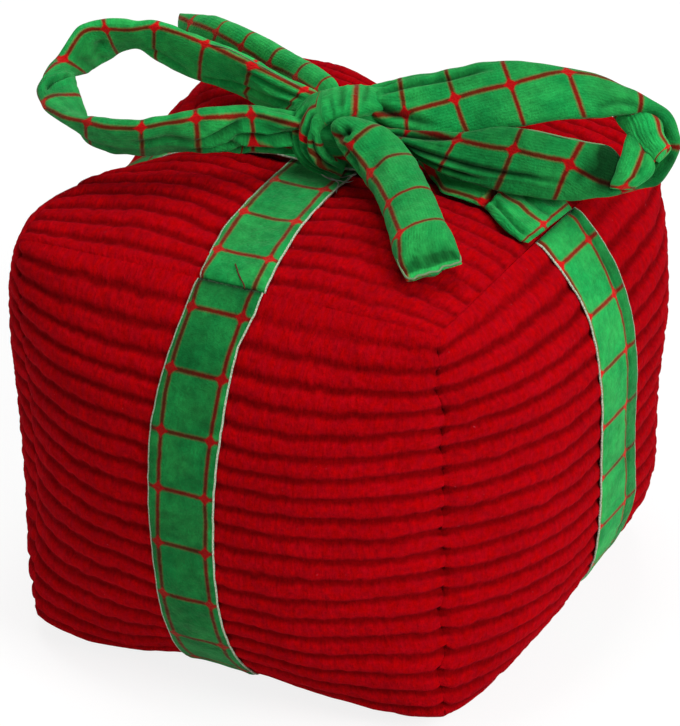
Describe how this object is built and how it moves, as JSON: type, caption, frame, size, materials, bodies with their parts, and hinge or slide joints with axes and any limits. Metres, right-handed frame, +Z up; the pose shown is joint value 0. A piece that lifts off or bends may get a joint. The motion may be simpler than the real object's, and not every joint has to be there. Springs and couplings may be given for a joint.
{
  "type": "plush dog toy",
  "caption": "Stuffed corduroy cube for a dog, dressed as a gift with flat fabric ribbons and a tied tube bow on top, with a squeaker inside the fill.",
  "frame": {"origin": "centre of the flat under the base, on the cube's upright axis", "axes": "+Z up, the front face looks along -Y, the right face looks along +X"},
  "size_m": [0.162, 0.159, 0.1488],
  "materials": {
    "red_corduroy": "wide wale corduroy",
    "green_check_velour": "short pile velour with a printed red windowpane check",
    "fibre_fill": "loose polyester fibre",
    "squeaker_plastic": "blow moulded, translucent white",
    "reed_plastic": "clear film"
  },
  "bodies": {
    "box": {"front_panel": "red_corduroy", "right_panel": "red_corduroy", "back_panel": "red_corduroy", "left_panel": "red_corduroy", "top_panel": "red_corduroy", "base_panel": "red_corduroy", "front_ribbon": "green_check_velour", "right_ribbon": "green_check_velour", "back_ribbon": "green_check_velour", "left_ribbon": "green_check_velour", "top_ribbon_along": "green_check_velour", "top_ribbon_across": "green_check_velour", "squeaker_bulb": "squeaker_plastic", "squeaker_plug": "squeaker_plastic", "squeaker_reed": "reed_plastic", "lower_fill": "fibre_fill", "upper_fill": "fibre_fill", "bow_knot": "green_check_velour"},
    "left_loop": {"left_loop": "green_check_velour"},
    "right_loop": {"right_loop": "green_check_velour"},
    "front_tail": {"front_tail": "green_check_velour"},
    "back_tail": {"back_tail": "green_check_velour"}
  },
  "joints": [
    {"name": "left_loop_lift", "type": "hinge", "parent": "box", "child": "left_loop", "pos_m": [-0.00432, -0.0102, 0.13172], "axis": [-0.1513, 0.9885, 0], "range_deg": [0, 40]},
    {"name": "right_loop_lift", "type": "hinge", "parent": "box", "child": "right_loop", "pos_m": [0.01569, -0.00067, 0.13266], "axis": [0.3007, -0.9537, 0], "range_deg": [0, 40]},
    {"name": "front_tail_lift", "type": "hinge", "parent": "box", "child": "front_tail", "pos_m": [0.01126, -0.01193, 0.1335], "axis": [-0.7071, -0.7071, 0], "range_deg": [0, 38]},
    {"name": "back_tail_lift", "type": "hinge", "parent": "box", "child": "back_tail", "pos_m": [-0.00064, 0.00123, 0.13172], "axis": [0.503, 0.8643, 0], "range_deg": [0, 38]}
  ]
}
